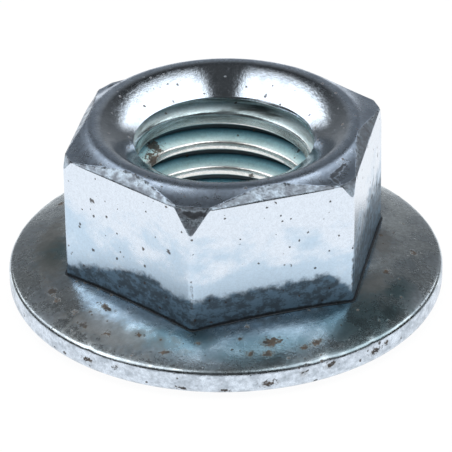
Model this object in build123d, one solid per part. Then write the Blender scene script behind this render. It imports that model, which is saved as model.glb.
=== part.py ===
from build123d import *
import os
from math import atan2, asin, cos, hypot, radians, sin, tan

# Serrated hexagon flange nut, M10 x 1.5, cold formed in one piece.
# The origin is on the thread axis, in the plane of the tooth tips, and +Z points up to the crown.
# Two corners of the hexagon lie on the X axis. All lengths are in millimetres.

# Thread: the bore has the thread's minor diameter, and the thread itself is a finish
thread_diameter = 10.0
thread_pitch = 1.5
thread_depth = 0.5413 * thread_pitch

# Hexagon
across_flats = 14.73
corner_rounding = 0.45
nut_height = 9.6

# Crown: a rounded ring round the mouth, standing on a top that falls to the corners
crown_setback = 0.835        # from a flat in to the highest line of the ring
crown_rounding = 0.7
shoulder_drop = 0.47         # from the top of the ring down to the foot of its outer side
shoulder_slope = 11.0        # fall of the top from that foot out to the corners, in degrees
shoulder_fill = 0.15         # narrow slope that fills the hollow between the ring and the top

# Bevel along the upper edge of each flat
bevel_drop = 0.9             # from the top of the ring down to the upper edge of a flat
bevel_slope = 68.0           # in degrees from level

# Facet across each corner
facet_drop = 1.7             # from the top of the ring down to the facet's lowest point
facet_slope = 68.0

# Mouth of the thread
mouth_margin = 0.33          # from the bore wall out to the foot of the mouth
mouth_depth = 1.24           # from the top of the ring down to that foot
lead_in_slope = 50.0

# Flange
flange_diameter = 22.2
flange_height = 2.3          # where the flange meets a flat
flange_inner_slope = 5.0     # fall of its upper face beside the flats, in degrees
flange_stretches = 3         # straight stretches that make up the curve of its upper face
rim_height = 1.4             # upper corner of the rim, before its chamfer
rim_top_chamfer = 0.2
rim_bottom_rounding = 0.6

# Underside
tooth_count = 24
tooth_depth = 0.38           # at a tooth's outer end: its depth falls in line with its radius
tooth_land = 2.2             # angle of the flat tip of a tooth, in degrees
tooth_back = 1.2             # angle taken up by the steep side that bites
rim_land = 0.4               # plain ring between the teeth and the rounding of the rim
rim_clearance = 0.12         # from the tooth tips up to that ring
recess_diameter = 13.4
recess_depth = 0.45
under_mouth_diameter = 10.8
under_mouth_slope = 45.0

# How far a cutting tool runs past what it cuts
overrun = 1.0

flat_distance = across_flats / 2
corner_distance = flat_distance / cos(radians(30))
corner_edge_distance = corner_distance - corner_rounding * (1 / cos(radians(30)) - 1)
bore_radius = thread_diameter / 2 - thread_depth
mouth_radius = bore_radius + mouth_margin
flange_radius = flange_diameter / 2
recess_radius = recess_diameter / 2
under_mouth_radius = under_mouth_diameter / 2
teeth_radius = flange_radius - rim_bottom_rounding - rim_land
crown_radius = flat_distance - crown_setback
crown_centre = nut_height - crown_rounding
mouth_foot = nut_height - mouth_depth


def nearest_corner(section, point):
    """The corner of a flat section that lies nearest to a point."""
    return section.vertices().sort_by_distance(point)[0]


def shoulder_height(radius):
    """Height of the sloping top of the hexagon at a distance from the axis."""
    foot_radius = crown_radius + crown_rounding
    return nut_height - shoulder_drop - (radius - foot_radius) * tan(radians(shoulder_slope))


def mouth_touch():
    """The point where the straight side of the mouth runs into the rounded ring."""
    across = crown_radius - mouth_radius
    up = crown_centre - mouth_foot
    rise = atan2(up, across) + asin(crown_rounding / hypot(across, up))
    return (
        crown_radius - crown_rounding * sin(rise),
        crown_centre + crown_rounding * cos(rise),
    )


def crown_section():
    """Half section of the crown, from the bore out past the corners of the hexagon."""
    outer_radius = corner_distance + overrun
    lead_in_fall = mouth_margin * tan(radians(lead_in_slope))
    block = make_face(
        Polyline(
            (bore_radius, rim_height),
            (outer_radius, rim_height),
            (outer_radius, shoulder_height(outer_radius)),
            (crown_radius, shoulder_height(crown_radius)),
            mouth_touch(),
            (mouth_radius, mouth_foot),
            (bore_radius, mouth_foot - lead_in_fall),
            close=True,
        )
    )
    section = block + Pos(crown_radius, crown_centre) * Circle(crown_rounding)
    ring_foot = (crown_radius + crown_rounding, nut_height - shoulder_drop)
    return chamfer(nearest_corner(section, ring_foot), shoulder_fill)


def flange_curve():
    """Points along the flange's upper face, on an arc from a flat out to the rim."""
    run = flange_radius - flat_distance
    fall = flange_height - rim_height
    start = radians(flange_inner_slope)
    turn = 2 * (atan2(fall, run) - start)
    arc_radius = hypot(run, fall) / (2 * sin(turn / 2))
    points = []
    for step in range(flange_stretches + 1):
        slope = start + turn * step / flange_stretches
        out = flat_distance + arc_radius * (sin(slope) - sin(start))
        up = flange_height - arc_radius * (cos(start) - cos(slope))
        points.append((out, up))
    return points


def flange_section():
    """Half section of the flange, from the bore out to the rim."""
    curve = flange_curve()
    rim_bottom = (flange_radius, rim_clearance)
    section = make_face(
        Polyline(
            (bore_radius, flange_height),
            *curve,
            rim_bottom,
            (teeth_radius, rim_clearance),
            (teeth_radius, 0),
            (bore_radius, 0),
            close=True,
        )
    )
    section = chamfer(nearest_corner(section, curve[-1]), rim_top_chamfer)
    return fillet(nearest_corner(section, rim_bottom), rim_bottom_rounding)


def underside_section():
    """Half section of what is cut away underneath: the recess and the lower mouth."""
    mouth_rise = (under_mouth_radius - bore_radius) * tan(radians(under_mouth_slope))
    return make_face(
        Polyline(
            (0, -overrun),
            (recess_radius, -overrun),
            (recess_radius, recess_depth),
            (under_mouth_radius, recess_depth),
            (bore_radius, recess_depth + mouth_rise),
            (0, recess_depth + mouth_rise),
            close=True,
        )
    )


def turned(section):
    """The ring that a half section sweeps round the thread axis."""
    return revolve(Plane.XZ * section, Axis.Z)


def hexagon_prism():
    """The six flats with their rounded corners, from inside the flange to above the crown."""
    outline = RegularPolygon(radius=corner_distance, side_count=6)
    outline = fillet(outline.vertices(), corner_rounding)
    return Pos(0, 0, rim_height) * extrude(outline, amount=nut_height + overrun - rim_height)


def sloping_cut(distance, height, slope):
    """A tool that cuts off all that lies outside a plane leaning in over the hexagon.

    The plane crosses the X axis direction at the given distance and height.
    """
    below = overrun
    above = nut_height - height + overrun
    inset = above / tan(radians(slope))
    outset = below / tan(radians(slope))
    outline = Polyline(
        (distance - inset, height + above),
        (distance + outset, height - below),
        (distance + outset + overrun, height - below),
        (distance + outset + overrun, height + above),
        close=True,
    )
    return extrude(Plane.XZ * make_face(outline), amount=corner_distance, both=True)


def bevel_cuts():
    """The six tools that bevel the upper edges of the flats."""
    tool = sloping_cut(flat_distance, nut_height - bevel_drop, bevel_slope)
    return [Rot(0, 0, 30 + 60 * side) * tool for side in range(6)]


def facet_cuts():
    """The six tools that cut the facets across the corners."""
    tool = sloping_cut(corner_edge_distance, nut_height - facet_drop, facet_slope)
    return [Rot(0, 0, 60 * corner) * tool for corner in range(6)]


def tooth_gap():
    """The gap after one tooth: a steep side that bites, then a long ramp to the next tip.

    Each of its faces lies in a plane through the origin, so the gap widens and deepens outwards.
    """
    pitch = 360 / tooth_count
    reach = teeth_radius + overrun
    profile = [
        (tan(radians(tooth_land)), 0),
        (tan(radians(tooth_land + tooth_back)), tooth_depth / teeth_radius),
        (tan(radians(pitch)), 0),
        (tan(radians(pitch)), -tooth_depth / teeth_radius),
        (tan(radians(tooth_land)), -tooth_depth / teeth_radius),
    ]
    ends = []
    for radius in (recess_radius - overrun, reach):
        corners = [Vector(radius, side * radius, height * radius) for side, height in profile]
        ends.append(make_face(Polyline(*corners, close=True)))
    return loft(ends, ruled=True) & Cylinder(teeth_radius, 4 * tooth_depth)


def tooth_gaps():
    """All the gaps round the bearing face."""
    gap = tooth_gap()
    return [Rot(0, 0, 360 / tooth_count * tooth) * gap for tooth in range(tooth_count)]


def flange_nut():
    """The whole nut."""
    hexagon = turned(crown_section()) & hexagon_prism()
    hexagon = hexagon - bevel_cuts() - facet_cuts()
    nut = hexagon + turned(flange_section())
    return nut - turned(underside_section()) - tooth_gaps()


os.makedirs("parts", exist_ok=True)
export_step(flange_nut(), "parts/flange_nut.step")
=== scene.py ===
import math

import bpy
import numpy as np
from mathutils import Matrix, Vector


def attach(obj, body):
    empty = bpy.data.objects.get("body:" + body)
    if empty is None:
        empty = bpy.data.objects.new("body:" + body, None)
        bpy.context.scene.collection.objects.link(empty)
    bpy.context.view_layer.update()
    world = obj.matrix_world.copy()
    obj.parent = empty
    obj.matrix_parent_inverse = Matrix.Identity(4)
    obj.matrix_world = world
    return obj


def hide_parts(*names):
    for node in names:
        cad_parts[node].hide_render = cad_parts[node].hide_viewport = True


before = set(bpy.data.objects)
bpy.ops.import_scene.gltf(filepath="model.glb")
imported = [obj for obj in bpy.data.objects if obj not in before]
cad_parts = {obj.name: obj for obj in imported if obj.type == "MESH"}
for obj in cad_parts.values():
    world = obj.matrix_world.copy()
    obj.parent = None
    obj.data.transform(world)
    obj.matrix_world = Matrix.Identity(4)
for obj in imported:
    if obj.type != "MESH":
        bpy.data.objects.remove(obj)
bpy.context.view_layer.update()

# A serrated flange nut, M10 x 1.5. Lengths are in millimetres until the mesh is made, and angles
# are in degrees. The thread axis is Z, and two corners of the hexagon lie on X.
MM = 0.001

# Hexagon
FLAT = 7.365
CORNER = FLAT / math.cos(math.radians(30))
CORNER_ROUND = 0.34

# Crown: a rounded ring, the shoulder that falls from it to the corners, bevels along the flats
TOP = 9.5
RING = 6.5
RING_ROUND = 0.8
RING_CENTRE = TOP - RING_ROUND
RING_STEEPEST = 30.0
SHOULDER_FOOT = 7.23
SHOULDER_TOP = 9.12
SHOULDER_BLEND = 0.2
SHOULDER_FALL = math.tan(math.radians(11.0))
BEVEL_FOOT = 8.87
BEVEL_RISE = math.tan(math.radians(47.0))
# Each corner was formed a little differently. From the corner on +X round by 60 degrees:
# the lowest point of its facet, the facet's slope, and how far the corner has sunk
FACET_FOOT = np.array([7.9, 7.6, 8.2, 8.35, 7.6, 8.16])
FACET_SLOPE = np.array([76.0, 70.0, 68.0, 66.0, 70.0, 70.0])
CORNER_SAG = np.array([0.0, 0.35, 0.3, 0.0, 0.0, 0.0])
# The sinking sets in between these distances from the axis, and between these heights
SAG_OUT = (6.95, 7.8)
SAG_UP = (7.6, 8.7)
# The upper edge of a flat is softened by a line just below it and one just in from it and above
EDGE_BELOW = 0.05
EDGE_IN = 0.012
EDGE_UP = 0.01

# Mouth: its foot and the bend below it, as distance from the axis and height, and its two slopes
MOUTH_FOOT = (4.518, 8.364)
LEAD_IN_BEND = (4.4, 7.35)
LEAD_IN_FOOT = 6.43
MOUTH_STEEP = 38.0
MOUTH_EASY = 28.0

# Thread
PITCH = 1.5
ROOT = 5.0
CREST = 4.188
FLANK_STEEPNESS = 60.0
ROOT_FLAT = PITCH / 16
# Height of the middle of a groove at the angle THREAD_TURN: 3/8 of the pitch below its upper edge
THREAD_TURN = 71.7
THREAD_EDGE = 7.02
THREAD_START = THREAD_EDGE - 3 / 8 * PITCH
THREAD_TOP = 8.4
THREAD_BOTTOM = 0.8
# How far the bore's line and the crests are eased
BORE_EASE = 0.14
CREST_EASE = 0.14
# Lines of the mesh along one turn, from the middle of a groove up to the next
TURN_LINES = (0.094, 0.25, 0.38, 0.45, 0.51, 0.57, 0.64, 0.75, 0.86, 0.93, 1.0, 1.09, 1.25, 1.406)

# Flange
RIM = 11.1
RIM_TOP = 1.45
RIM_TOP_ROUND = 0.3
RIM_UNDER = 0.12
RIM_UNDER_ROUND = 0.6
FLANGE_FOOT = 2.4
FLANGE_EASY = 5.0
CREASE_DEPTH = 0.05
CREASE_WIDTH = 0.16
# Nicks in the rim set in between these distances from the axis, and between these heights
NICK_OUT = (10.6, 11.0)
NICK_UP = (0.6, 1.1)

# Underside
TEETH = 24
TOOTH_DEPTH = 0.38
TOOTH_LAND = 2.2
TOOTH_BACK = 1.2
TEETH_OUTER = 10.1
RECESS = 6.7
RECESS_DEPTH = 0.45
UNDER_MOUTH = 5.4

# The mesh. Columns round the axis, in degrees: their step, the least gap between two edges' own
# columns, the gap that the even ones leave round those, and the extra ones beside each corner
COLUMN_STEP = 0.92
COLUMN_LEAST = 0.22
COLUMN_CLEAR = 0.5
CORNER_COLUMNS = (0.35, 0.8, 1.3, 1.9, 2.7, 3.6)
# Lines of the mesh, as distances from the axis, as shares of a stretch or as counts
UNDER_MOUTH_LINES = (0.55, 1.0)
RECESS_LINES = (5.8, 6.3, RECESS)
TEETH_LINES = 9
PLAIN_RING = 10.3
ROUNDING_LINES = 9
RIM_LINES = (0.3, 0.65)
RIM_TOP_LINES = 7
FLANGE_LINES = 27
CREASE_LINES = (1.0, 0.55, 0.2)
FLAT_LINES = 27
BEVEL_LINES = (0.12, 0.3, 0.5, 0.7, 0.88, 1.0)
CROWN_LINES = 15
RING_LINES = 6
MOUTH_LINES = 9
TURNS = range(-6, 5)
# The rim's finish gives way to the flange's where the rounding leans less than this, in radians
RIM_LEAN = 1.0
# The crease reaches its full depth at this share of its width
CREASE_FULL = 0.8
# How far the crown's line runs past the corners, and how finely the curves are worked out
CROWN_PAST = 0.3
CROWN_STEPS = 900
MOUTH_STEPS = 60
EASE_STEPS = 7
HALVINGS = 40
# Points that agree at this many steps to the millimetre are one
WELD_STEPS = 2e4

# Finish. Marks are placed by their angle round the thread axis, distance from it and height.
# A rough dark band runs along the foot of each flat. Its upper edge, by steps along the flat
BAND_STEPS = [-4.25, -2.0, 0.0, 1.5, 3.0, 4.25]
BAND_TOPS = {
    210: [2.9, 3.5, 4.1, 4.35, 3.9, 4.0],
    270: [3.9, 3.95, 3.95, 4.0, 4.0, 2.9],
    330: [4.6, 5.2, 5.5, 5.4, 5.0, 4.6],
    30: [3.6, 3.3, 3.7, 4.1, 3.8, 3.2],
    90: [3.1, 3.6, 3.9, 3.5, 3.2, 3.4],
    150: [3.3, 3.9, 3.6, 3.3, 3.7, 3.5],
}
# How far the band takes to fade out at its upper edge, and where it is softer than that
BAND_EDGE = 0.5
BAND_FADE = {330: 2.2}
# Dark brown stains on the flange: angle, radius, half length round the axis, half width
STAINS = [
    (265, 9.4, 0.42, 0.22),
    (263, 10.1, 0.26, 0.13),
    (278, 10.0, 0.22, 0.13),
    (274, 10.1, 0.2, 0.12),
    (258, 10.0, 0.16, 0.12),
    (256, 9.0, 0.12, 0.1),
    (243, 9.3, 0.14, 0.1),
    (207, 8.5, 0.42, 0.12),
    (186, 9.6, 0.3, 0.2),
    (191, 9.8, 0.16, 0.16),
    (200, 9.6, 0.14, 0.12),
    (206, 10.0, 0.24, 0.14),
    (215, 9.9, 0.2, 0.12),
    (224, 9.4, 0.18, 0.1),
    (234, 10.1, 0.2, 0.1),
    (322, 8.6, 0.22, 0.16),
    (338, 9.6, 0.18, 0.14),
    (20, 9.2, 0.3, 0.16),
    (64, 9.8, 0.22, 0.14),
    (97, 8.9, 0.34, 0.16),
    (131, 10.0, 0.24, 0.14),
]
# Wider brown cast on the flange: angle, radius, half length, half width
CASTS = [
    (155, 9.1, 1.6, 0.7),
    (171, 9.2, 1.3, 0.6),
    (215, 9.8, 2.6, 0.7),
    (342, 8.0, 1.5, 0.6),
    (312, 8.4, 1.4, 0.6),
    (50, 9.0, 1.8, 0.7),
    (100, 9.6, 1.6, 0.6),
]
# Blue-green tarnish on the flange: angle, radius, half length, half width
TARNISH = [
    (236, 9.2, 2.6, 1.0),
    (262, 9.8, 3.0, 1.1),
    (294, 9.4, 3.0, 1.8),
    (303, 10.2, 1.6, 0.6),
    (315, 9.6, 1.2, 0.6),
    (75, 9.4, 2.0, 0.9),
    (165, 8.8, 1.6, 0.8),
]
# Marks on the rim: angle, height, half length, half height
RIM_MARKS = [
    (213, 0.9, 0.3, 0.12),
    (222, 1.0, 0.2, 0.1),
    (262, 0.75, 0.34, 0.14),
    (272, 1.0, 0.24, 0.1),
    (279, 1.1, 0.3, 0.12),
    (293, 0.9, 0.3, 0.16),
    (297, 1.1, 0.2, 0.1),
    (240, 0.5, 0.24, 0.1),
    (251, 0.45, 0.3, 0.1),
    (25, 0.8, 0.3, 0.12),
    (88, 0.9, 0.26, 0.12),
    (140, 0.7, 0.3, 0.14),
]
# Brown marks in the thread: angle, height, half length, half height
THREAD_MARKS = [
    (122, 6.4, 0.42, 0.2),
    (132, 6.05, 0.5, 0.3),
    (20, 6.3, 0.4, 0.2),
]
# Black folds at the corners' facets: angle, radius, half length, half width
FOLDS = [
    (241, 8.08, 0.7, 0.06),
    (306, 7.28, 0.35, 0.08),
    (302, 7.32, 0.4, 0.1),
    (298, 7.42, 0.35, 0.13),
    (296.4, 7.75, 0.13, 0.34),
    (119, 7.9, 0.3, 0.1),
]
# Nicks in the edge of the rim: angle, depth, half length
NICKS = [
    (278, 0.07, 0.45),
    (271, 0.04, 0.3),
    (293, 0.05, 0.22),
    (213, 0.05, 0.25),
    (64, 0.06, 0.3),
]

# Dark lines: painted shade with dirt in the crease at the foot of the flats, a painted shadow
# round the crown's outer edge under its ledge, where a bevel meets a corner's facet, and down the
# corners.
# Half widths, then how strong each is
CREASE_LINE = 0.1
EDGE_LINE = 0.05
FOLD_LINE = 0.08
CORNER_LINE = 0.12
EDGE_SHADOW_STRENGTH = 0.48
FOLD_GRIME = 0.66
FACET_GRIME = 0.34
CORNER_RUST = 0.42
RIM_STAIN = 0.85
# Where those marks are let in: the crown's edge by height and distance, the folds by distance
EDGE_ABOVE = 8.6
EDGE_OUTSIDE = 6.6
FOLDS_OUTSIDE = 7.0
# Where a finish fades in: by how far a facet lies below its bevel, by heights up or down the
# flats and the thread, and by the distance in from the ring
FACET_FADE = (-0.04, 0.1)
CORNER_FADE = (7.0, 4.5)
LIP_FOOT = (6.9, 7.5)
LIP_TOP = (8.4, 8.2)
BRIM_ABOVE = (8.2, 8.38)
BRIM_BELOW = (1.7, 1.5)
BOWL_FADE = (-0.1, 0.38)


def smooth_step(x, low, high):
    """0 below low, 1 above high, easing between."""
    t = np.clip((x - low) / (high - low), 0.0, 1.0)
    return t * t * (3 - 2 * t)


def turned_angles():
    """The angles of the mesh's columns: even steps that meet the teeth's edges and the corners."""
    exact = []
    step = 360 / TEETH
    for tooth in range(TEETH):
        exact += [tooth * step, tooth * step + TOOTH_LAND, tooth * step + TOOTH_LAND + TOOTH_BACK]
    for corner in range(6):
        for away in CORNER_COLUMNS:
            exact += [corner * 60 + away, corner * 60 - away]
    exact = sorted(a % 360 for a in exact)
    kept = []
    for angle in exact:
        if not kept or angle - kept[-1] > COLUMN_LEAST:
            kept.append(angle)
    for angle in np.arange(0, 360, COLUMN_STEP):
        nearest = min(abs((angle - k + 180) % 360 - 180) for k in kept)
        if nearest > COLUMN_CLEAR:
            kept.append(angle)
    return np.array(sorted(kept) + [360.0])


PHI = turned_angles()


def from_corner(angle):
    """Angle to the nearest corner of the hexagon, and that corner's number."""
    number = np.round(angle / 60).astype(int) % 6
    return (angle + 30) % 60 - 30, number


OFF_CORNER, CORNER_NUMBER = from_corner(PHI)
OFF_FLAT = (PHI % 60) - 30


def hexagon_radius():
    """Distance from the axis to the hexagon, with its rounded corners."""
    flat = FLAT / np.cos(np.radians(OFF_FLAT))
    centre = CORNER - CORNER_ROUND / math.cos(math.radians(30))
    off = np.radians(OFF_CORNER)
    inside = np.maximum(CORNER_ROUND ** 2 - (centre * np.sin(off)) ** 2, 0)
    arc = centre * np.cos(off) + np.sqrt(inside)
    touch = math.atan2(CORNER_ROUND * 0.5, centre + CORNER_ROUND * math.cos(math.radians(30)))
    return np.where(np.abs(off) < touch, arc, flat)


HEX = hexagon_radius()


def flange_bow():
    """Radius of the flange's curved upper face, and the curve's slope at the flats."""
    run, fall = RIM - FLAT, FLANGE_FOOT - RIM_TOP
    start = math.radians(FLANGE_EASY)
    turn = 2 * (math.atan2(fall, run) - start)
    return math.hypot(run, fall) / (2 * math.sin(turn / 2)), start


BOW, BOW_START = flange_bow()


def flange_slope(radius):
    """Slope of the flange's upper face, in radians."""
    return np.arcsin(math.sin(BOW_START) + (radius - FLAT) / BOW)


def flange_height(radius):
    """The curved upper face of the flange."""
    return FLANGE_FOOT - BOW * (math.cos(BOW_START) - np.cos(flange_slope(radius)))


# Where the rounding of the rim's upper edge runs into that face
RIM_FALL = float(flange_slope(RIM - RIM_TOP_ROUND / 2))
RIM_TOUCH = RIM - RIM_TOP_ROUND + RIM_TOP_ROUND * math.sin(RIM_FALL)


def crown_line():
    """The outer side of the ring and the shoulder, as points from the crest outwards."""
    out = np.linspace(RING, CORNER + CROWN_PAST, CROWN_STEPS)
    steep = math.radians(RING_STEEPEST)
    end = RING + RING_ROUND * math.sin(steep)
    ring = RING_CENTRE + np.sqrt(np.maximum(RING_ROUND ** 2 - (out - RING) ** 2, 0))
    side = RING_CENTRE + RING_ROUND * math.cos(steep) - (out - end) * math.tan(steep)
    ring = np.where(out > end, side, ring)
    shoulder = SHOULDER_TOP - (out - SHOULDER_FOOT) * SHOULDER_FALL
    gap = np.maximum(SHOULDER_BLEND - np.abs(ring - shoulder), 0)
    height = np.maximum(ring, shoulder) + gap ** 2 / (4 * SHOULDER_BLEND)
    length = np.concatenate([[0], np.cumsum(np.hypot(np.diff(out), np.diff(height)))])
    return out, height, length


CROWN_OUT, CROWN_UP, CROWN_LENGTH = crown_line()


def crown_height(radius):
    """Height of the ring and the shoulder."""
    return np.interp(radius, CROWN_OUT, CROWN_UP)


def bevel_height(radius):
    """Height of the bevel of the nearest flat over each column."""
    return BEVEL_FOOT + (FLAT - radius * np.cos(np.radians(OFF_FLAT))) * BEVEL_RISE


def facet_height(radius):
    """Height of the facet of the nearest corner over each column."""
    edge = CORNER - CORNER_ROUND * (1 / math.cos(math.radians(30)) - 1)
    foot, rise = FACET_FOOT[CORNER_NUMBER], np.tan(np.radians(FACET_SLOPE[CORNER_NUMBER]))
    return foot + (edge - radius * np.cos(np.radians(OFF_CORNER))) * rise


def cut_height(radius):
    """Height of the bevels and corner facets over each column."""
    return np.minimum(bevel_height(radius), facet_height(radius))


def cut_end():
    """Where the bevels and facets run out on the crown, on each column."""
    low, high = np.full_like(PHI, RING), HEX.copy()
    for _ in range(HALVINGS):
        middle = (low + high) / 2
        over = cut_height(middle) > crown_height(middle)
        low, high = np.where(over, middle, low), np.where(over, high, middle)
    return (low + high) / 2


def mouth_line():
    """The hollow of the mouth, as radii and heights from its foot up to the ring."""
    end = (
        RING - RING_ROUND * math.sin(math.radians(MOUTH_EASY)),
        RING_CENTRE + RING_ROUND * math.cos(math.radians(MOUTH_EASY)),
    )
    t = np.linspace(0, 1, MOUTH_STEPS)
    steep, easy = math.radians(MOUTH_STEEP), math.radians(MOUTH_EASY)
    lean = steep + (easy - steep) * t
    out = np.concatenate([[0], np.cumsum(np.cos(lean[:-1]))])
    up = np.concatenate([[0], np.cumsum(np.sin(lean[:-1]))])
    out = MOUTH_FOOT[0] + out / out[-1] * (end[0] - MOUTH_FOOT[0])
    up = MOUTH_FOOT[1] + up / up[-1] * (end[1] - MOUTH_FOOT[1])
    return out, up


MOUTH_OUT, MOUTH_UP = mouth_line()


def bore_line():
    """The bore and the hollows at its two ends, before the thread is cut, as heights and radii."""
    points = [
        (RECESS_DEPTH, UNDER_MOUTH),
        (RECESS_DEPTH + UNDER_MOUTH - CREST, CREST),
        (LEAD_IN_FOOT, CREST),
        (LEAD_IN_BEND[1], LEAD_IN_BEND[0]),
        (MOUTH_FOOT[1], MOUTH_FOOT[0]),
    ]
    up = np.concatenate([[p[0] for p in points], MOUTH_UP[1:]])
    out = np.concatenate([[p[1] for p in points], MOUTH_OUT[1:]])
    return up, out


BORE_UP, BORE_OUT = bore_line()


def bore_radius(height):
    """Radius of the bore at a height, with the corners of its line eased."""
    shifts = np.linspace(-BORE_EASE, BORE_EASE, EASE_STEPS)
    return np.mean([np.interp(height + shift, BORE_UP, BORE_OUT) for shift in shifts], axis=0)


def groove_radius(height):
    """Radius of the right-hand thread's groove over each column."""
    centre = THREAD_START + PITCH * (PHI - THREAD_TURN) / 360
    off = (height - centre + PITCH / 2) % PITCH - PITCH / 2
    return ROOT - np.maximum(np.abs(off) - ROOT_FLAT, 0) * math.tan(math.radians(FLANK_STEEPNESS))


def tooth_height(radius):
    """The ratchet teeth underneath: a flat tip, a steep side that bites, a long ramp."""
    step = 360 / TEETH
    along = PHI % step
    back = np.clip((along - TOOTH_LAND) / TOOTH_BACK, 0, 1)
    ramp = np.clip((step - along) / (step - TOOTH_LAND - TOOTH_BACK), 0, 1)
    return TOOTH_DEPTH * radius / TEETH_OUTER * np.minimum(back, ramp)


class Rows:
    """The turned form, line by line round the axis."""

    def __init__(self):
        self.out, self.up, self.zone = [], [], []

    def add(self, out, up, zone):
        self.out.append(np.broadcast_to(np.asarray(out, float), PHI.shape).copy())
        self.up.append(np.broadcast_to(np.asarray(up, float), PHI.shape).copy())
        self.zone.append(zone)


def underside_rows(rows):
    for share in UNDER_MOUTH_LINES:
        up = THREAD_BOTTOM + (RECESS_DEPTH - THREAD_BOTTOM) * share
        rows.add(bore_radius(up), up, "underside")
    for out in RECESS_LINES:
        rows.add(out, RECESS_DEPTH, "underside")
    for out in np.linspace(RECESS, TEETH_OUTER, TEETH_LINES):
        rows.add(out, tooth_height(out), "underside")
    for out in (TEETH_OUTER, PLAIN_RING):
        rows.add(out, RIM_UNDER, "underside")


def rim_rows(rows):
    centre = RIM - RIM_UNDER_ROUND
    for lean in np.radians(np.linspace(0, 90, ROUNDING_LINES)):
        out = centre + RIM_UNDER_ROUND * math.sin(lean)
        up = RIM_UNDER + RIM_UNDER_ROUND * (1 - math.cos(lean))
        rows.add(out, up, "rim")
    centre = RIM - RIM_TOP_ROUND
    centre_up = flange_height(RIM_TOUCH) - RIM_TOP_ROUND * math.cos(RIM_FALL)
    for share in RIM_LINES:
        up = RIM_UNDER + RIM_UNDER_ROUND
        rows.add(RIM, up + (centre_up - up) * share, "rim")
    for lean in np.linspace(math.pi / 2, RIM_FALL, RIM_TOP_LINES):
        rows.add(
            centre + RIM_TOP_ROUND * math.sin(lean),
            centre_up + RIM_TOP_ROUND * math.cos(lean),
            "rim" if lean > RIM_LEAN else "flange",
        )


def flange_rows(rows):
    for share in np.linspace(0, 1, FLANGE_LINES)[1:-1]:
        out = RIM_TOUCH + (HEX + CREASE_WIDTH - RIM_TOUCH) * share
        rows.add(out, flange_height(out), "flange")
    for share in CREASE_LINES:
        out = HEX + CREASE_WIDTH * share
        dip = CREASE_DEPTH * smooth_step(1 - share, 0, CREASE_FULL)
        rows.add(out, flange_height(out) - dip, "flange")


def flat_rows(rows):
    foot = flange_height(HEX) - CREASE_DEPTH
    top = cut_height(HEX)
    rows.add(HEX, foot, "flats")
    for share in np.linspace(0, 1, FLAT_LINES)[1:-1]:
        rows.add(HEX, foot + (top - EDGE_BELOW - foot) * share, "flats")
    rows.add(HEX, top - EDGE_BELOW, "flats")
    rows.add(HEX - EDGE_IN, top + EDGE_UP, "flats")


def crown_rows(rows):
    end = cut_end()
    for share in BEVEL_LINES:
        out = HEX + (end - HEX) * share
        rows.add(out, np.minimum(cut_height(out), crown_height(out)), "bevels")
    length = np.interp(end, CROWN_OUT, CROWN_LENGTH)
    for share in np.linspace(1, 0, CROWN_LINES)[1:]:
        rows.add(
            np.interp(length * share, CROWN_LENGTH, CROWN_OUT),
            np.interp(length * share, CROWN_LENGTH, CROWN_UP),
            "crown",
        )
    for lean in np.radians(np.linspace(0, MOUTH_EASY, RING_LINES))[1:]:
        rows.add(
            RING - RING_ROUND * math.sin(lean),
            RING_CENTRE + RING_ROUND * math.cos(lean),
            "crown",
        )
    for up in np.linspace(MOUTH_UP[-1], THREAD_TOP, MOUTH_LINES)[1:]:
        rows.add(np.interp(up, MOUTH_UP, MOUTH_OUT), up, "mouth")


def thread_rows(rows):
    """Lines that follow the thread down, so that its edges stay sharp."""
    turn = PITCH * (PHI - THREAD_TURN) / 360
    offsets = [
        THREAD_START + PITCH * count + step
        for count in TURNS
        for step in TURN_LINES
    ]
    for offset in sorted(offsets, reverse=True):
        if (offset + turn).min() > THREAD_TOP or (offset + turn).max() < THREAD_BOTTOM:
            continue
        up = np.clip(offset + turn, THREAD_BOTTOM, THREAD_TOP)
        bore, groove = bore_radius(up), groove_radius(up)
        ease = np.maximum(CREST_EASE - np.abs(bore - groove), 0) ** 2 / (4 * CREST_EASE)
        out = np.maximum(bore, groove) + ease
        rows.add(out, up, "thread")


def shaped_grid():
    """All the lines of the nut, from the lower mouth round the outside and down the thread."""
    rows = Rows()
    underside_rows(rows)
    rim_rows(rows)
    flange_rows(rows)
    flat_rows(rows)
    crown_rows(rows)
    thread_rows(rows)
    return rows


def sunk_corners(out, up):
    """How far the corners that didn't fill up lie below the even form."""
    near = np.cos(np.radians(3 * OFF_CORNER)) ** 2
    sunk = CORNER_SAG[CORNER_NUMBER] * near
    return sunk * smooth_step(out, *SAG_OUT) * smooth_step(up, *SAG_UP)


ZONES = ["flats", "bevels", "crown", "mouth", "thread", "flange", "rim", "underside"]


def nicked(out, up):
    """How far the nicks in the rim's upper edge cut in."""
    cut = np.zeros_like(out)
    for turn, depth, length in NICKS:
        along = np.radians((PHI - turn + 180) % 360 - 180) * RIM
        cut += depth * np.exp(-(along / length) ** 2)
    return cut * smooth_step(out, *NICK_OUT) * smooth_step(up, *NICK_UP)


def marks(places, across, radius):
    """Softly fading marks, each measured along the turn and along the other direction given."""
    cover = np.zeros_like(across)
    for turn, middle, length, width in places:
        along = np.radians((PHI - turn + 180) % 360 - 180) * radius
        away = np.hypot(along / length, (across - middle) / width)
        cover = np.maximum(cover, 1 / (1 + away ** 2))
    return cover


def band_cover(up):
    """1 inside the rough dark band at the foot of the flats, fading out over its upper edge."""
    along = FLAT * np.tan(np.radians(OFF_FLAT))
    top, fade = np.zeros_like(PHI), np.zeros_like(PHI)
    for turn, tops in BAND_TOPS.items():
        here = np.abs((PHI - turn + 180) % 360 - 180) <= 30
        top[here] = np.interp(along[here], BAND_STEPS, tops)
        fade[here] = BAND_FADE.get(turn, BAND_EDGE)
    return smooth_step(up, top + fade, top - fade)


def line_cover(distance, half_width):
    """1 on a line, falling off quickly past its half width."""
    return 1 / (1 + (distance / half_width) ** 4)


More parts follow.
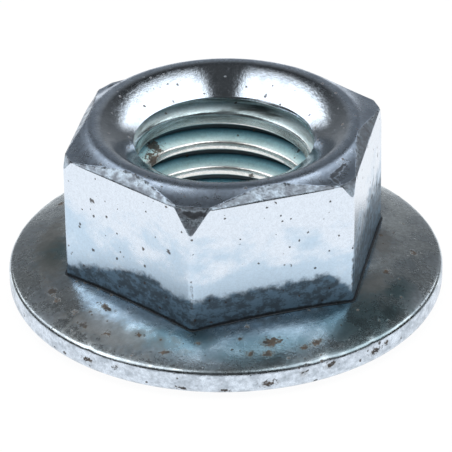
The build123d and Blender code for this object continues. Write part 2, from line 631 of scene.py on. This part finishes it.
def finish_masks(out, up, zones):
    """How much of each kind of weathering and painted shade every point has, from 0 to 1."""
    number = np.array([ZONES.index(z) for z in zones])[:, None] + np.zeros_like(out, int)
    on = {name: number == ZONES.index(name) for name in ZONES}
    # The crease line is painted shade with some dirt, where the flats meet the flange
    foot = flange_height(HEX) - CREASE_DEPTH
    crease = line_cover(np.hypot(out - HEX, up - foot), CREASE_LINE)
    crease = crease * (on["flats"] | on["bevels"] | on["flange"])
    even = up + sunk_corners(out, up)
    # The line round the crown's outer edge is a painted shadow under its ledge
    edge = line_cover(cut_height(out) - crown_height(out), EDGE_LINE)
    edge = edge * (even > EDGE_ABOVE) * (out > EDGE_OUTSIDE)
    past_bevel = bevel_height(out) - facet_height(out)
    facet = smooth_step(past_bevel, *FACET_FADE) * on["bevels"]
    fold = line_cover(past_bevel, FOLD_LINE) * on["bevels"]
    folded = marks(FOLDS, out, out) * (on["bevels"] | on["crown"]) * (out > FOLDS_OUTSIDE)
    deep = np.clip((groove_radius(up) - bore_radius(up)) / (ROOT - CREST), 0, 1)
    stain = [
        marks(STAINS, out, out) * on["flange"],
        marks(RIM_MARKS, up, RIM) * RIM_STAIN * on["rim"],
        marks(THREAD_MARKS, up, ROOT) * on["thread"],
    ]
    # Grime and painted shade together: the crease and crown-edge lines are painted shade, the
    # folds and facets are grime
    grime_and_shade = [crease, edge * EDGE_SHADOW_STRENGTH, facet * FACET_GRIME, fold * FOLD_GRIME, folded]
    corner = line_cover(np.radians(OFF_CORNER) * HEX, CORNER_LINE) * on["flats"]
    return {
        "grime_and_shade": np.maximum.reduce(grime_and_shade),
        "stain": np.maximum.reduce(stain),
        "cast": marks(CASTS, out, out) * on["flange"],
        "tarnish": marks(TARNISH, out, out) * on["flange"],
        "band": band_cover(up) * on["flats"],
        "deep": deep * on["thread"],
        "lip": on["thread"] * smooth_step(up, *LIP_FOOT) * smooth_step(up, *LIP_TOP),
        "brim": on["thread"] * (smooth_step(up, *BRIM_ABOVE) + smooth_step(up, *BRIM_BELOW)),
        "bowl": on["crown"] * smooth_step(RING - out, *BOWL_FADE),
        "corner": corner * CORNER_RUST * smooth_step(up, *CORNER_FADE),
    }


def surface_mesh(rows):
    """Joins the lines into one closed skin and welds it where the thread's turns meet."""
    out, up = np.array(rows.out), np.array(rows.up)
    masks = finish_masks(out, up, rows.zone)
    out = out - nicked(out, up)
    up = up - sunk_corners(out, up)
    angle = np.radians(PHI)
    points = np.stack([out * np.cos(angle), out * np.sin(angle), up], -1)
    lines, columns = out.shape
    keys = np.round(points.reshape(-1, 3) * WELD_STEPS).astype(np.int64)
    _, first, inverse = np.unique(keys, axis=0, return_index=True, return_inverse=True)
    inverse = inverse.reshape(lines, columns)
    places = points.reshape(-1, 3)[first]
    faces, zones = [], []
    for line in range(lines):
        after = (line + 1) % lines
        zone = ZONES.index(rows.zone[after])
        for column in range(columns - 1):
            corners = [
                inverse[line, column],
                inverse[line, column + 1],
                inverse[after, column + 1],
                inverse[after, column],
            ]
            kept = [c for i, c in enumerate(corners) if c not in corners[:i]]
            if len(kept) > 2:
                faces.append(kept)
                zones.append(zone)
    mesh = bpy.data.meshes.new("flange_nut_surface")
    mesh.from_pydata((places * MM).tolist(), [], faces)
    mesh.polygons.foreach_set("material_index", np.array(zones, np.int32))
    for name, cover in masks.items():
        layer = mesh.attributes.new(name, "FLOAT", "POINT")
        layer.data.foreach_set("value", cover.reshape(-1)[first].astype(np.float32))
    mesh.update()
    mesh.validate()
    return mesh


class Nodes:
    """Short ways to lay down and join nodes."""

    def __init__(self, tree):
        self.tree = tree

    def put(self, kind, **values):
        node = self.tree.nodes.new(kind)
        for key, value in values.items():
            setattr(node, key, value)
        return node

    def join(self, source, target):
        self.tree.links.new(source, target)

    def feed(self, socket, value):
        """Gives a socket another node's output, or a fixed value."""
        if isinstance(value, (int, float)):
            socket.default_value = value
        elif isinstance(value, tuple):
            whole = len(value) == len(socket.default_value)
            socket.default_value = value if whole else (*value, 1)
        else:
            self.join(value, socket)

    def sum(self, operation, *inputs, clamp=False):
        """One step of arithmetic."""
        node = self.put("ShaderNodeMath", operation=operation, use_clamp=clamp)
        for socket, value in zip(node.inputs, inputs):
            self.feed(socket, value)
        return node.outputs[0]

    def step(self, value, low, high):
        """0 below low, 1 above high, easing between."""
        node = self.put("ShaderNodeMapRange", interpolation_type="SMOOTHSTEP")
        self.feed(node.inputs["Value"], value)
        self.feed(node.inputs["From Min"], low)
        self.feed(node.inputs["From Max"], high)
        return node.outputs["Result"]

    def between(self, share, first, second):
        """A number between two others, by a share from 0 to 1."""
        node = self.put("ShaderNodeMapRange")
        self.feed(node.inputs["Value"], share)
        self.feed(node.inputs["To Min"], first)
        self.feed(node.inputs["To Max"], second)
        return node.outputs["Result"]

    def blend(self, share, first, second, mode="MIX"):
        node = self.put("ShaderNodeMix", data_type="RGBA", blend_type=mode)
        self.feed(node.inputs[0], share)
        self.feed(node.inputs[6], first)
        self.feed(node.inputs[7], second)
        return node.outputs[2]

    def mask(self, name):
        """One of the mesh's masks."""
        return self.put("ShaderNodeAttribute", attribute_name=name).outputs["Fac"]

    def place(self):
        """Position on the nut in millimetres."""
        scale = self.put("ShaderNodeVectorMath", operation="SCALE")
        self.join(self.put("ShaderNodeTexCoord").outputs["Object"], scale.inputs[0])
        scale.inputs["Scale"].default_value = 1 / MM
        return scale.outputs[0]

    def noise(self, place, scale, detail=3.0, roughness=0.55):
        node = self.put("ShaderNodeTexNoise")
        self.join(place, node.inputs["Vector"])
        self.feed(node.inputs["Scale"], scale)
        node.inputs["Detail"].default_value = detail
        node.inputs["Roughness"].default_value = roughness
        return node.outputs["Fac"]

    def use(self, group, **values):
        """Puts in a node group and feeds its sockets, named here with _ for spaces."""
        node = self.put("ShaderNodeGroup", node_tree=group)
        for name, value in values.items():
            self.feed(node.inputs[name.replace("_", " ")], value)
        return node.outputs


def node_group(name, inputs, outputs):
    """An empty node group, with a way to fill it and its named sockets."""
    kinds = {"value": "NodeSocketFloat", "colour": "NodeSocketColor", "vector": "NodeSocketVector"}
    group = bpy.data.node_groups.new(name, "ShaderNodeTree")
    for label, kind in inputs.items():
        group.interface.new_socket(label, in_out="INPUT", socket_type=kinds[kind])
    for label, kind in outputs.items():
        group.interface.new_socket(label, in_out="OUTPUT", socket_type=kinds[kind])
    nodes = Nodes(group)
    return group, nodes, nodes.put("NodeGroupInput").outputs, nodes.put("NodeGroupOutput").inputs


# Where a mark's cover is below the first of these its edge isn't ragged, above the second fully so
EDGE_START = (0.03, 0.25)


def ragged_edge_group():
    """Turns a softly fading cover into a mark with a ragged edge."""
    group, nodes, given, result = node_group(
        "ragged_edge",
        {"Cover": "value", "Scale": "value", "Raggedness": "value", "Blur": "value"},
        {"Mask": "value"},
    )
    noise = nodes.noise(nodes.place(), given["Scale"], 4.0, 0.65)
    swing = nodes.sum("MULTIPLY", nodes.sum("SUBTRACT", noise, 0.5), given["Raggedness"])
    swing = nodes.sum("MULTIPLY", swing, nodes.step(given["Cover"], *EDGE_START))
    low = nodes.sum("SUBTRACT", 0.5, given["Blur"])
    high = nodes.sum("ADD", 0.5, given["Blur"])
    nodes.join(nodes.step(nodes.sum("ADD", given["Cover"], swing), low, high), result["Mask"])
    return group


# Pits: the smallest against the largest, how far their outline is bent, and their solid middle
PIT_SMALLEST = 0.35
PIT_BEND = 0.16
PIT_BEND_SCALE = 9.0
PIT_MIDDLE = 0.6


def fine_specks_group():
    """Small scattered pits, each with its own size."""
    group, nodes, given, result = node_group(
        "fine_specks", {"Spacing": "value", "Share": "value", "Size": "value"}, {"Mask": "value"}
    )
    place = nodes.place()
    cells = nodes.put("ShaderNodeTexVoronoi", voronoi_dimensions="3D", feature="F1")
    nodes.join(place, cells.inputs["Vector"])
    nodes.join(nodes.sum("DIVIDE", 1.0, given["Spacing"]), cells.inputs["Scale"])
    pick = nodes.put("ShaderNodeSeparateColor")
    nodes.join(cells.outputs["Color"], pick.inputs[0])
    chosen = nodes.sum("LESS_THAN", pick.outputs["Red"], given["Share"])
    spread = nodes.between(pick.outputs["Green"], PIT_SMALLEST, 1.0)
    size = nodes.sum("MULTIPLY", given["Size"], spread)
    bent = nodes.between(nodes.noise(place, PIT_BEND_SCALE, 2.0), -PIT_BEND, PIT_BEND)
    away = nodes.sum("ADD", cells.outputs["Distance"], bent)
    inner = nodes.sum("MULTIPLY", size, PIT_MIDDLE)
    nodes.join(nodes.sum("MULTIPLY", chosen, nodes.step(away, size, inner)), result["Mask"])
    return group


# Colours of the weathering
BAND_BLUE = (0.11, 0.2, 0.29)
BAND_DARK = (0.03, 0.05, 0.07)
BROWN = (0.1, 0.065, 0.04)
DARK_BROWN = (0.022, 0.017, 0.014)
CAST_BROWN = (0.3, 0.27, 0.23)
TARNISH_GREEN = (0.17, 0.29, 0.33)
# This black paints grime, and also the shade in the crease and the shadow under the crown's edge
GRIME_AND_SHADE_BLACK = (0.012, 0.014, 0.018)

# The ragged edge of each kind of weathering: its mask, then scale, raggedness and blur
WEATHER_EDGES = {
    "tarnish": ("tarnish", 1.2, 0.7, 0.4),
    "band": ("band", 2.0, 1.3, 0.3),
    "cast": ("cast", 1.8, 1.6, 0.35),
    "halo": ("stain", 2.5, 1.5, 0.35),
    "stain": ("stain", 6.0, 2.2, 0.1),
    "corner": ("corner", 4.0, 1.6, 0.15),
    "grime_and_shade": ("grime_and_shade", 4.0, 0.9, 0.16),
}
# How fully each kind covers what lies under it
TARNISH_COVER = 0.85
BAND_COVER = 0.9
HALO_COVER = 0.8
CAST_COVER = 0.5
CORNER_COVER = 0.6
RUST_COVER = 0.9
GRIME_AND_SHADE_COVER = 0.92
PIT_COVER = 0.8
# Plating: half width of the passage between its tones, the height its tilt turns on, its grain
TONE_EDGE = 0.14
TILT_HEIGHT = 6.0
GRAIN_SCALE = 5.5
FINE_SCALE = 15.0
FINE_SWING = 0.14
GRAIN_DARK = 1.2
GRAIN_LIGHT = 0.9
# Scuffs and flecks inside the bands, stains and pits
SCUFF_SCALE = 1.8
SCUFF_EDGE = (0.42, 0.6)
# Spacing and size of the small and large pits, and how many large ones there are against small
SMALL_PITS = (0.42, 0.26)
LARGE_PITS = (0.85, 0.22)
LARGE_SHARE = 0.5
# What dirt and the painted shade lines take from the metal, and what the grain, the bands, dirt
# and those lines add to the roughness
DIRT_AND_SHADE_OVER_METAL = 0.85
GRAIN_ROUGHENS = 0.06
BAND_ROUGHENS = 0.16
DIRT_AND_SHADE_ROUGHENS = 0.35
# Relief of the grain, of the fine grain, of the scuffs in the bands, and of dirt and the painted
# shade lines
GRAIN_RELIEF = 0.7
FINE_RELIEF = 0.3
BAND_RELIEF = 1.2
DIRT_AND_SHADE_RELIEF = 0.8


def weather_mask(nodes, ragged, kind):
    """The mask of one kind of weathering, with its ragged edge."""
    mask, scale, raggedness, blur = WEATHER_EDGES[kind]
    cover = nodes.mask(mask)
    mark = nodes.use(ragged, Cover=cover, Scale=scale, Raggedness=raggedness, Blur=blur)
    return mark["Mask"]


def weathered_zinc_group(ragged, specks):
    """Blue-white zinc plating in two mottled tones, with dark bands, stains, grime, painted shade
    lines and pits.
    """
    group, nodes, given, result = node_group(
        "weathered_zinc",
        {
            "Pale": "colour", "Deep": "colour", "Tone Scale": "value", "Tone Balance": "value",
            "Tone Tilt": "value", "Stretch": "vector", "Grain": "value", "Speck Share": "value",
            "Dull": "value", "Rough": "value", "Metal": "value",
        },
        {"Color": "colour", "Roughness": "value", "Metallic": "value", "Height": "value"},
    )
    place = nodes.place()
    stretch = nodes.put("ShaderNodeVectorMath", operation="MULTIPLY")
    nodes.join(place, stretch.inputs[0])
    nodes.join(given["Stretch"], stretch.inputs[1])
    stretched = stretch.outputs[0]
    parts = nodes.put("ShaderNodeSeparateXYZ")
    nodes.join(place, parts.inputs[0])

    # The plating in two tones, with its grain
    below = nodes.sum("SUBTRACT", TILT_HEIGHT, parts.outputs["Z"])
    tilt = nodes.sum("MULTIPLY", below, given["Tone Tilt"])
    cloud = nodes.sum("ADD", nodes.noise(stretched, given["Tone Scale"], 5.0, 0.6), tilt)
    low = nodes.sum("SUBTRACT", given["Tone Balance"], TONE_EDGE)
    tone = nodes.step(cloud, low, nodes.sum("ADD", low, 2 * TONE_EDGE))
    grain = nodes.noise(place, GRAIN_SCALE, 3.0, 0.6)
    fine = nodes.noise(place, FINE_SCALE, 2.0, 0.6)
    darkest = nodes.sum("SUBTRACT", 1.0, nodes.sum("MULTIPLY", given["Grain"], GRAIN_DARK))
    lightest = nodes.sum("ADD", 1.0, nodes.sum("MULTIPLY", given["Grain"], GRAIN_LIGHT))
    shade = nodes.between(grain, darkest, lightest)
    fine_shade = nodes.between(fine, 1 - FINE_SWING, 1 + FINE_SWING)
    colour = nodes.blend(tone, given["Pale"], given["Deep"])
    colour = nodes.blend(1.0, colour, shade, "MULTIPLY")
    colour = nodes.blend(1.0, colour, fine_shade, "MULTIPLY")

    # Tarnish, the dark bands and the brown casts
    tarnish = weather_mask(nodes, ragged, "tarnish")
    colour = nodes.blend(nodes.sum("MULTIPLY", tarnish, TARNISH_COVER), colour, TARNISH_GREEN)
    scuff = nodes.step(nodes.noise(stretched, SCUFF_SCALE, 6.0, 0.75), *SCUFF_EDGE)
    band = weather_mask(nodes, ragged, "band")
    band_colour = nodes.blend(scuff, BAND_DARK, BAND_BLUE)
    colour = nodes.blend(nodes.sum("MULTIPLY", band, BAND_COVER), colour, band_colour)
    halo = nodes.sum("MULTIPLY", weather_mask(nodes, ragged, "halo"), HALO_COVER)
    cast = nodes.sum("MAXIMUM", weather_mask(nodes, ragged, "cast"), halo)
    colour = nodes.blend(nodes.sum("MULTIPLY", cast, CAST_COVER), colour, CAST_BROWN)

    # Stains, grime with painted shade and shadow lines, and pits
    brown = nodes.blend(scuff, DARK_BROWN, BROWN)
    corner = nodes.sum("MULTIPLY", weather_mask(nodes, ragged, "corner"), CORNER_COVER)
    rust = nodes.sum("MAXIMUM", weather_mask(nodes, ragged, "stain"), corner)
    colour = nodes.blend(nodes.sum("MULTIPLY", rust, RUST_COVER), colour, brown)
    # Grime, with the painted shade in the crease and the painted shadow under the crown's edge
    grime_and_shade = weather_mask(nodes, ragged, "grime_and_shade")
    colour = nodes.blend(nodes.sum("MULTIPLY", grime_and_shade, GRIME_AND_SHADE_COVER), colour, GRIME_AND_SHADE_BLACK)
    small, large = SMALL_PITS, LARGE_PITS
    few = nodes.sum("MULTIPLY", given["Speck Share"], LARGE_SHARE)
    small_pits = nodes.use(specks, Spacing=small[0], Share=given["Speck Share"], Size=small[1])
    large_pits = nodes.use(specks, Spacing=large[0], Share=few, Size=large[1])
    pits = nodes.sum("MAXIMUM", small_pits["Mask"], large_pits["Mask"])
    pits = nodes.sum("MULTIPLY", pits, PIT_COVER)
    colour = nodes.blend(pits, colour, brown)
    nodes.join(colour, result["Color"])

    dirt_and_shade = nodes.sum("MAXIMUM", nodes.sum("MAXIMUM", rust, grime_and_shade), pits)
    bare = nodes.sum("SUBTRACT", 1.0, nodes.sum("MULTIPLY", dirt_and_shade, DIRT_AND_SHADE_OVER_METAL))
    nodes.join(nodes.sum("MULTIPLY", bare, given["Metal"]), result["Metallic"])
    rough = nodes.between(tone, given["Dull"], given["Rough"])
    rough = nodes.sum("ADD", rough, nodes.between(grain, -GRAIN_ROUGHENS, GRAIN_ROUGHENS))
    worn = nodes.sum("MAXIMUM", band, cast)
    rough = nodes.sum("ADD", rough, nodes.sum("MULTIPLY", worn, BAND_ROUGHENS))
    rough = nodes.sum("ADD", rough, nodes.sum("MULTIPLY", dirt_and_shade, DIRT_AND_SHADE_ROUGHENS), clamp=True)
    nodes.join(rough, result["Roughness"])
    height = nodes.sum("MULTIPLY", grain, GRAIN_RELIEF)
    height = nodes.sum("ADD", height, nodes.sum("MULTIPLY", fine, FINE_RELIEF))
    scuffed = nodes.sum("MULTIPLY", band, scuff)
    height = nodes.sum("ADD", height, nodes.sum("MULTIPLY", scuffed, BAND_RELIEF))
    height = nodes.sum("SUBTRACT", height, nodes.sum("MULTIPLY", dirt_and_shade, DIRT_AND_SHADE_RELIEF))
    nodes.join(height, result["Height"])
    return group


# How the plating came out on each part of the surface. The thread has its tones, with painted
# reflection and painted shadow, from THREAD_TONES_AND_PAINTED_LIGHT
FINISHES = {
    "flats": {
        "Pale": (0.78, 0.86, 0.96), "Deep": (0.6, 0.75, 0.9),
        "Tone Scale": 0.5, "Tone Balance": 0.52, "Tone Tilt": 0.1,
        "Stretch": (1.0, 1.0, 1.5),
        "Grain": 0.12, "Speck Share": 0.42,
        "Dull": 0.24, "Rough": 0.32, "Metal": 1.0, "bump": 0.16,
    },
    "bevels": {
        "Pale": (0.54, 0.65, 0.76), "Deep": (0.3, 0.34, 0.4),
        "Tone Scale": 2.0, "Tone Balance": 0.5, "Tone Tilt": 0.0,
        "Stretch": (1.0, 1.0, 1.6),
        "Grain": 0.4, "Speck Share": 0.3,
        "Dull": 0.28, "Rough": 0.4, "Metal": 1.0, "bump": 0.6,
    },
    "crown": {
        "Pale": (0.58, 0.7, 0.86), "Deep": (0.43, 0.53, 0.67),
        "Tone Scale": 1.3, "Tone Balance": 0.5, "Tone Tilt": 0.0,
        "Stretch": (1.0, 1.0, 1.0),
        "Grain": 0.25, "Speck Share": 0.4,
        "Dull": 0.26, "Rough": 0.34, "Metal": 1.0, "bump": 0.14,
    },
    "mouth": {
        "Pale": (0.74, 0.84, 0.95), "Deep": (0.6, 0.69, 0.8),
        "Tone Scale": 1.3, "Tone Balance": 0.6, "Tone Tilt": 0.0,
        "Stretch": (1.0, 1.0, 1.0),
        "Grain": 0.12, "Speck Share": 0.42,
        "Dull": 0.1, "Rough": 0.18, "Metal": 1.0, "bump": 0.18,
    },
    "thread": {
        "Pale": None, "Deep": None,
        "Tone Scale": 1.1, "Tone Balance": 0.55, "Tone Tilt": 0.0,
        "Stretch": (0.35, 0.35, 3.5),
        "Grain": 0.2, "Speck Share": 0.16,
        "Dull": 0.34, "Rough": 0.42, "Metal": 0.2, "bump": 0.35,
    },
    "flange": {
        "Pale": (0.8, 0.9, 0.96), "Deep": (0.54, 0.62, 0.69),
        "Tone Scale": 0.6, "Tone Balance": 0.48, "Tone Tilt": 0.0,
        "Stretch": (1.0, 1.0, 1.0),
        "Grain": 0.35, "Speck Share": 0.36,
        "Dull": 0.19, "Rough": 0.3, "Metal": 1.0, "bump": 0.4,
    },
    "rim": {
        "Pale": (0.74, 0.83, 0.94), "Deep": (0.5, 0.57, 0.65),
        "Tone Scale": 1.5, "Tone Balance": 0.54, "Tone Tilt": 0.0,
        "Stretch": (1.0, 1.0, 1.4),
        "Grain": 0.4, "Speck Share": 0.4,
        "Dull": 0.25, "Rough": 0.36, "Metal": 1.0, "bump": 0.6,
    },
    "underside": {
        "Pale": (0.7, 0.76, 0.84), "Deep": (0.45, 0.5, 0.56),
        "Tone Scale": 1.0, "Tone Balance": 0.5, "Tone Tilt": 0.0,
        "Stretch": (1.0, 1.0, 1.0),
        "Grain": 0.3, "Speck Share": 0.3,
        "Dull": 0.28, "Rough": 0.42, "Metal": 1.0, "bump": 0.5,
    },
}

# The thread's colour from the crest down to its root: the near-white crests and pale cyan flanks,
# brighter and bluer than the plating, are painted reflection, and the blue to black towards the
# root is painted shadow under the crests
THREAD_TONES_AND_PAINTED_LIGHT = [
    (0.0, (1.0, 1.0, 0.98)),
    (0.1, (0.98, 1.0, 0.98)),
    (0.14, (0.5, 0.62, 0.66)),
    (0.2, (0.8, 1.0, 1.0)),
    (0.62, (0.62, 0.93, 1.0)),
    (0.86, (0.2, 0.4, 0.5)),
    (0.97, (0.02, 0.04, 0.05)),
]
# The crests are rubbed bright
CREST_ROUGH = 0.16
CREST_METAL = 0.85
# The rough first turn below the mouth, in streaks of two tones
LIP_PALE = (0.62, 0.76, 0.8)
LIP_DARK = (0.1, 0.13, 0.13)
# The darker of the two tones on the flanks, against the paler one
FLANK_SHADE = (0.84, 0.87, 0.86)
# The crest turns into the flank between these depths, as shares of the thread's depth
FLANK_START = (0.04, 0.2)

# Depth of the fine relief, and the angle from which an edge stays sharp
BUMP_DEPTH = 0.03
SHARP_EDGE = 32.0


def thread_tones_and_painted_light(nodes):
    """The thread's colours by depth, with painted reflection on the crests and flanks and painted
    shadow at the roots, in two tones, and on its rough first turn.
    """
    ramp = nodes.put("ShaderNodeValToRGB")
    nodes.join(nodes.mask("deep"), ramp.inputs[0])
    stops = ramp.color_ramp.elements
    while len(stops) < len(THREAD_TONES_AND_PAINTED_LIGHT):
        stops.new(0.5)
    for stop, (depth, colour) in zip(stops, THREAD_TONES_AND_PAINTED_LIGHT):
        stop.position = depth
        stop.color = (*colour, 1)
    lip = nodes.mask("lip")
    deep = nodes.blend(1.0, ramp.outputs["Color"], FLANK_SHADE, "MULTIPLY")
    return nodes.blend(lip, ramp.outputs["Color"], LIP_PALE), nodes.blend(lip, deep, LIP_DARK)


def blended_finish(nodes, share, finish, other):
    """One finish that turns into another where the share rises to 1."""
    blended = dict(finish)
    for name in ("Pale", "Deep"):
        blended[name] = nodes.blend(share, finish[name], other[name])
    for name in ("Dull", "Rough", "Metal"):
        blended[name] = nodes.between(share, finish[name], other[name])
    return blended


def zinc_material(zone, zinc):
    """The plating's material on one part of the surface."""
    material = bpy.data.materials.new("zinc_" + zone)
    material.use_nodes = True
    nodes = Nodes(material.node_tree)
    shader = material.node_tree.nodes["Principled BSDF"]
    finish = dict(FINISHES[zone])
    bump_strength = finish.pop("bump")
    if zone == "thread":
        # The thread's colours carry painted reflection on the crests and flanks and painted shadow
        # at the roots
        finish["Pale"], finish["Deep"] = thread_tones_and_painted_light(nodes)
        flank = nodes.step(nodes.mask("deep"), *FLANK_START)
        for name in ("Dull", "Rough"):
            finish[name] = nodes.between(flank, CREST_ROUGH, finish[name])
        finish["Metal"] = nodes.between(flank, CREST_METAL, finish["Metal"])
        finish = blended_finish(nodes, nodes.mask("brim"), finish, FINISHES["mouth"])
    if zone == "crown":
        finish = blended_finish(nodes, nodes.mask("bowl"), finish, FINISHES["mouth"])
    plating = nodes.use(zinc, **finish)
    nodes.join(plating["Color"], shader.inputs["Base Color"])
    nodes.join(plating["Roughness"], shader.inputs["Roughness"])
    nodes.join(plating["Metallic"], shader.inputs["Metallic"])
    bump = nodes.put("ShaderNodeBump")
    bump.inputs["Strength"].default_value = bump_strength
    bump.inputs["Distance"].default_value = BUMP_DEPTH * MM
    nodes.join(plating["Height"], bump.inputs["Height"])
    nodes.join(bump.outputs[0], shader.inputs["Normal"])
    return material


def make_nut():
    """The nut's surface, in place of its plain solid."""
    mesh = surface_mesh(shaped_grid())
    zinc = weathered_zinc_group(ragged_edge_group(), fine_specks_group())
    for zone in ZONES:
        mesh.materials.append(zinc_material(zone, zinc))
    nut = bpy.data.objects.new("flange_nut_surface", mesh)
    bpy.context.scene.collection.objects.link(nut)
    mesh.shade_smooth()
    mesh.set_sharp_from_angle(angle=math.radians(SHARP_EDGE))
    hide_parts("flange_nut")
    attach(nut, "root")


# Studio. The camera stands in front, turned by VIEW_TURN, and the lights face the same way.
VIEW_TURN = -18.285
VIEW_LIFT = 30.02
VIEW_ROLL = -0.82
VIEW_DISTANCE = 204.0
VIEW_CENTRE = 4.08
LENS = 318.91
SENSOR = 36.0
IMAGE_SIDE = 452
# How far the picture is shifted, in its pixels
SHIFT_X = 0.82
SHIFT_Y = -12.19
NEAREST = 0.01
FARTHEST = 20

# The lights, by directions in the room: side is to the left or right, y away from the camera, and
# height up. Two long soft boxes lie overhead, each between an inner and an outer slope of side
# over height. They fade out towards the front, and end at the back in a bowed edge
BOX_INNER = (0.13, 0.24)
BOX_OUTER = (1.95, 1.2)
BOX_FRONT = (-0.7, -0.4)
BOX_BACK = (0.16, -0.08)
BOX_BOW = 1.04
BOX_LIGHT = 2.1
# The walls are dark in front and paler at the back, where their sides are dimmer than the middle
WALL_BACK = (0.4, 1.1)
WALL_DARK = 0.06
WALL_PALE = 0.4
WALL_SIDE = (0.1, 0.45)
WALL_SIDE_SHARE = 0.5
# The ground is white from the horizon down
GROUND_EDGE = (0.0, -0.02)
LEAST_HEIGHT = 0.001

# Floor, in metres: it lies just under the teeth
FLOOR_HALF = 0.6
FLOOR_HEIGHT = -0.00001
FLOOR_PALE = (0.9, 0.9, 0.9, 1)
FLOOR_ROUGH = 0.9
FLOOR_GLOW = 1.02
GLOW_SHARE = 0.93

# Lamp, in metres and watts
LAMP_SIZE = 0.5
LAMP_HEIGHT = 0.6
LAMP_POWER = 2.0


def make_camera():
    """A long lens in front of the nut, looking down on it."""
    turn, lift = math.radians(VIEW_TURN), math.radians(VIEW_LIFT)
    level = math.cos(lift)
    back = Vector((math.sin(turn) * level, -math.cos(turn) * level, math.sin(lift)))
    camera = bpy.data.objects.new("camera", bpy.data.cameras.new("camera"))
    camera.data.lens = LENS
    camera.data.sensor_width = SENSOR
    camera.data.shift_x = SHIFT_X / IMAGE_SIDE
    camera.data.shift_y = SHIFT_Y / IMAGE_SIDE
    camera.data.clip_start = NEAREST
    camera.data.clip_end = FARTHEST
    camera.rotation_mode = "QUATERNION"
    camera.location = Vector((0, 0, VIEW_CENTRE * MM)) + back * VIEW_DISTANCE * MM
    aim = (-back).to_track_quat("-Z", "Y").to_matrix().to_4x4()
    rolled = aim @ Matrix.Rotation(math.radians(VIEW_ROLL), 4, "Z")
    camera.rotation_quaternion = rolled.to_quaternion()
    bpy.context.scene.collection.objects.link(camera)
    bpy.context.scene.camera = camera


def make_room():
    """A room with two long soft boxes overhead, paler at the back, on white ground."""
    world = bpy.data.worlds.new("studio")
    bpy.context.scene.world = world
    world.use_nodes = True
    world.node_tree.nodes.clear()
    nodes = Nodes(world.node_tree)
    place = nodes.put("ShaderNodeTexCoord")
    turn = nodes.put("ShaderNodeVectorRotate", rotation_type="Z_AXIS")
    nodes.join(place.outputs["Generated"], turn.inputs["Vector"])
    turn.inputs["Angle"].default_value = math.radians(-VIEW_TURN)
    split = nodes.put("ShaderNodeSeparateXYZ")
    nodes.join(turn.outputs[0], split.inputs[0])
    x, y, z = split.outputs
    side = nodes.sum("ABSOLUTE", x)
    height = nodes.sum("MAXIMUM", z, LEAST_HEIGHT)
    lean = nodes.sum("DIVIDE", side, height)
    squares = nodes.sum("ADD", nodes.sum("MULTIPLY", x, x), nodes.sum("MULTIPLY", z, z))
    away = nodes.sum("MAXIMUM", nodes.sum("SQRT", squares), LEAST_HEIGHT)
    depth = nodes.sum("DIVIDE", y, away)
    bow = nodes.sum("MULTIPLY", nodes.sum("MULTIPLY", lean, lean), BOX_BOW)
    reach = nodes.sum("SUBTRACT", nodes.sum("DIVIDE", y, height), bow)
    across = nodes.sum("MULTIPLY", nodes.step(lean, *BOX_INNER), nodes.step(lean, *BOX_OUTER))
    along = nodes.sum("MULTIPLY", nodes.step(depth, *BOX_FRONT), nodes.step(reach, *BOX_BACK))
    boxes = nodes.sum("MULTIPLY", nodes.sum("MULTIPLY", across, along), BOX_LIGHT)
    walls = nodes.between(nodes.step(y, *WALL_BACK), WALL_DARK, WALL_PALE)
    dimmer = nodes.between(nodes.step(side, *WALL_SIDE), 1.0, WALL_SIDE_SHARE)
    light = nodes.sum("ADD", boxes, nodes.sum("MULTIPLY", walls, dimmer))
    light = nodes.sum("MAXIMUM", light, nodes.step(z, *GROUND_EDGE))
    # Seen directly, all of it is white. Metal shows the boxes and the walls
    seen = nodes.put("ShaderNodeLightPath")
    strength = nodes.sum("MAXIMUM", light, seen.outputs["Is Camera Ray"])
    shade = nodes.put("ShaderNodeBackground")
    nodes.join(strength, shade.inputs["Strength"])
    out = nodes.put("ShaderNodeOutputWorld")
    nodes.join(shade.outputs[0], out.inputs["Surface"])


def make_floor():
    """A plain white floor that keeps the nut's shadow."""
    mesh = bpy.data.meshes.new("floor")
    half = FLOOR_HALF
    corners = [(-half, -half, 0), (half, -half, 0), (half, half, 0), (-half, half, 0)]
    mesh.from_pydata(corners, [], [(0, 1, 2, 3)])
    floor = bpy.data.objects.new("floor", mesh)
    floor.location.z = FLOOR_HEIGHT
    bpy.context.scene.collection.objects.link(floor)
    material = bpy.data.materials.new("white_floor")
    material.use_nodes = True
    nodes = Nodes(material.node_tree)
    shader = material.node_tree.nodes["Principled BSDF"]
    shader.inputs["Base Color"].default_value = FLOOR_PALE
    shader.inputs["Roughness"].default_value = FLOOR_ROUGH
    shader.inputs["Specular IOR Level"].default_value = 0.0
    glow = nodes.put("ShaderNodeEmission")
    glow.inputs["Strength"].default_value = FLOOR_GLOW
    path = nodes.put("ShaderNodeLightPath")
    seen = nodes.sum("MAXIMUM", path.outputs["Is Camera Ray"], path.outputs["Is Glossy Ray"])
    seen = nodes.sum("MAXIMUM", seen, path.outputs["Is Transmission Ray"])
    mix = nodes.put("ShaderNodeMixShader")
    nodes.join(nodes.sum("MULTIPLY", seen, GLOW_SHARE), mix.inputs[0])
    nodes.join(shader.outputs[0], mix.inputs[1])
    nodes.join(glow.outputs[0], mix.inputs[2])
    nodes.join(mix.outputs[0], material.node_tree.nodes["Material Output"].inputs["Surface"])
    mesh.materials.append(material)


def make_lamp():
    """A broad soft lamp that lifts matt surfaces to a plain level."""
    lamp = bpy.data.lights.new("soft_lamp", "AREA")
    lamp.shape = "DISK"
    lamp.size = LAMP_SIZE
    lamp.energy = LAMP_POWER
    holder = bpy.data.objects.new("soft_lamp", lamp)
    holder.location = (0, 0, LAMP_HEIGHT)
    holder.visible_glossy = False
    bpy.context.scene.collection.objects.link(holder)


make_nut()
make_camera()
make_room()
make_floor()
make_lamp()
bpy.context.scene.view_settings.view_transform = "Standard"
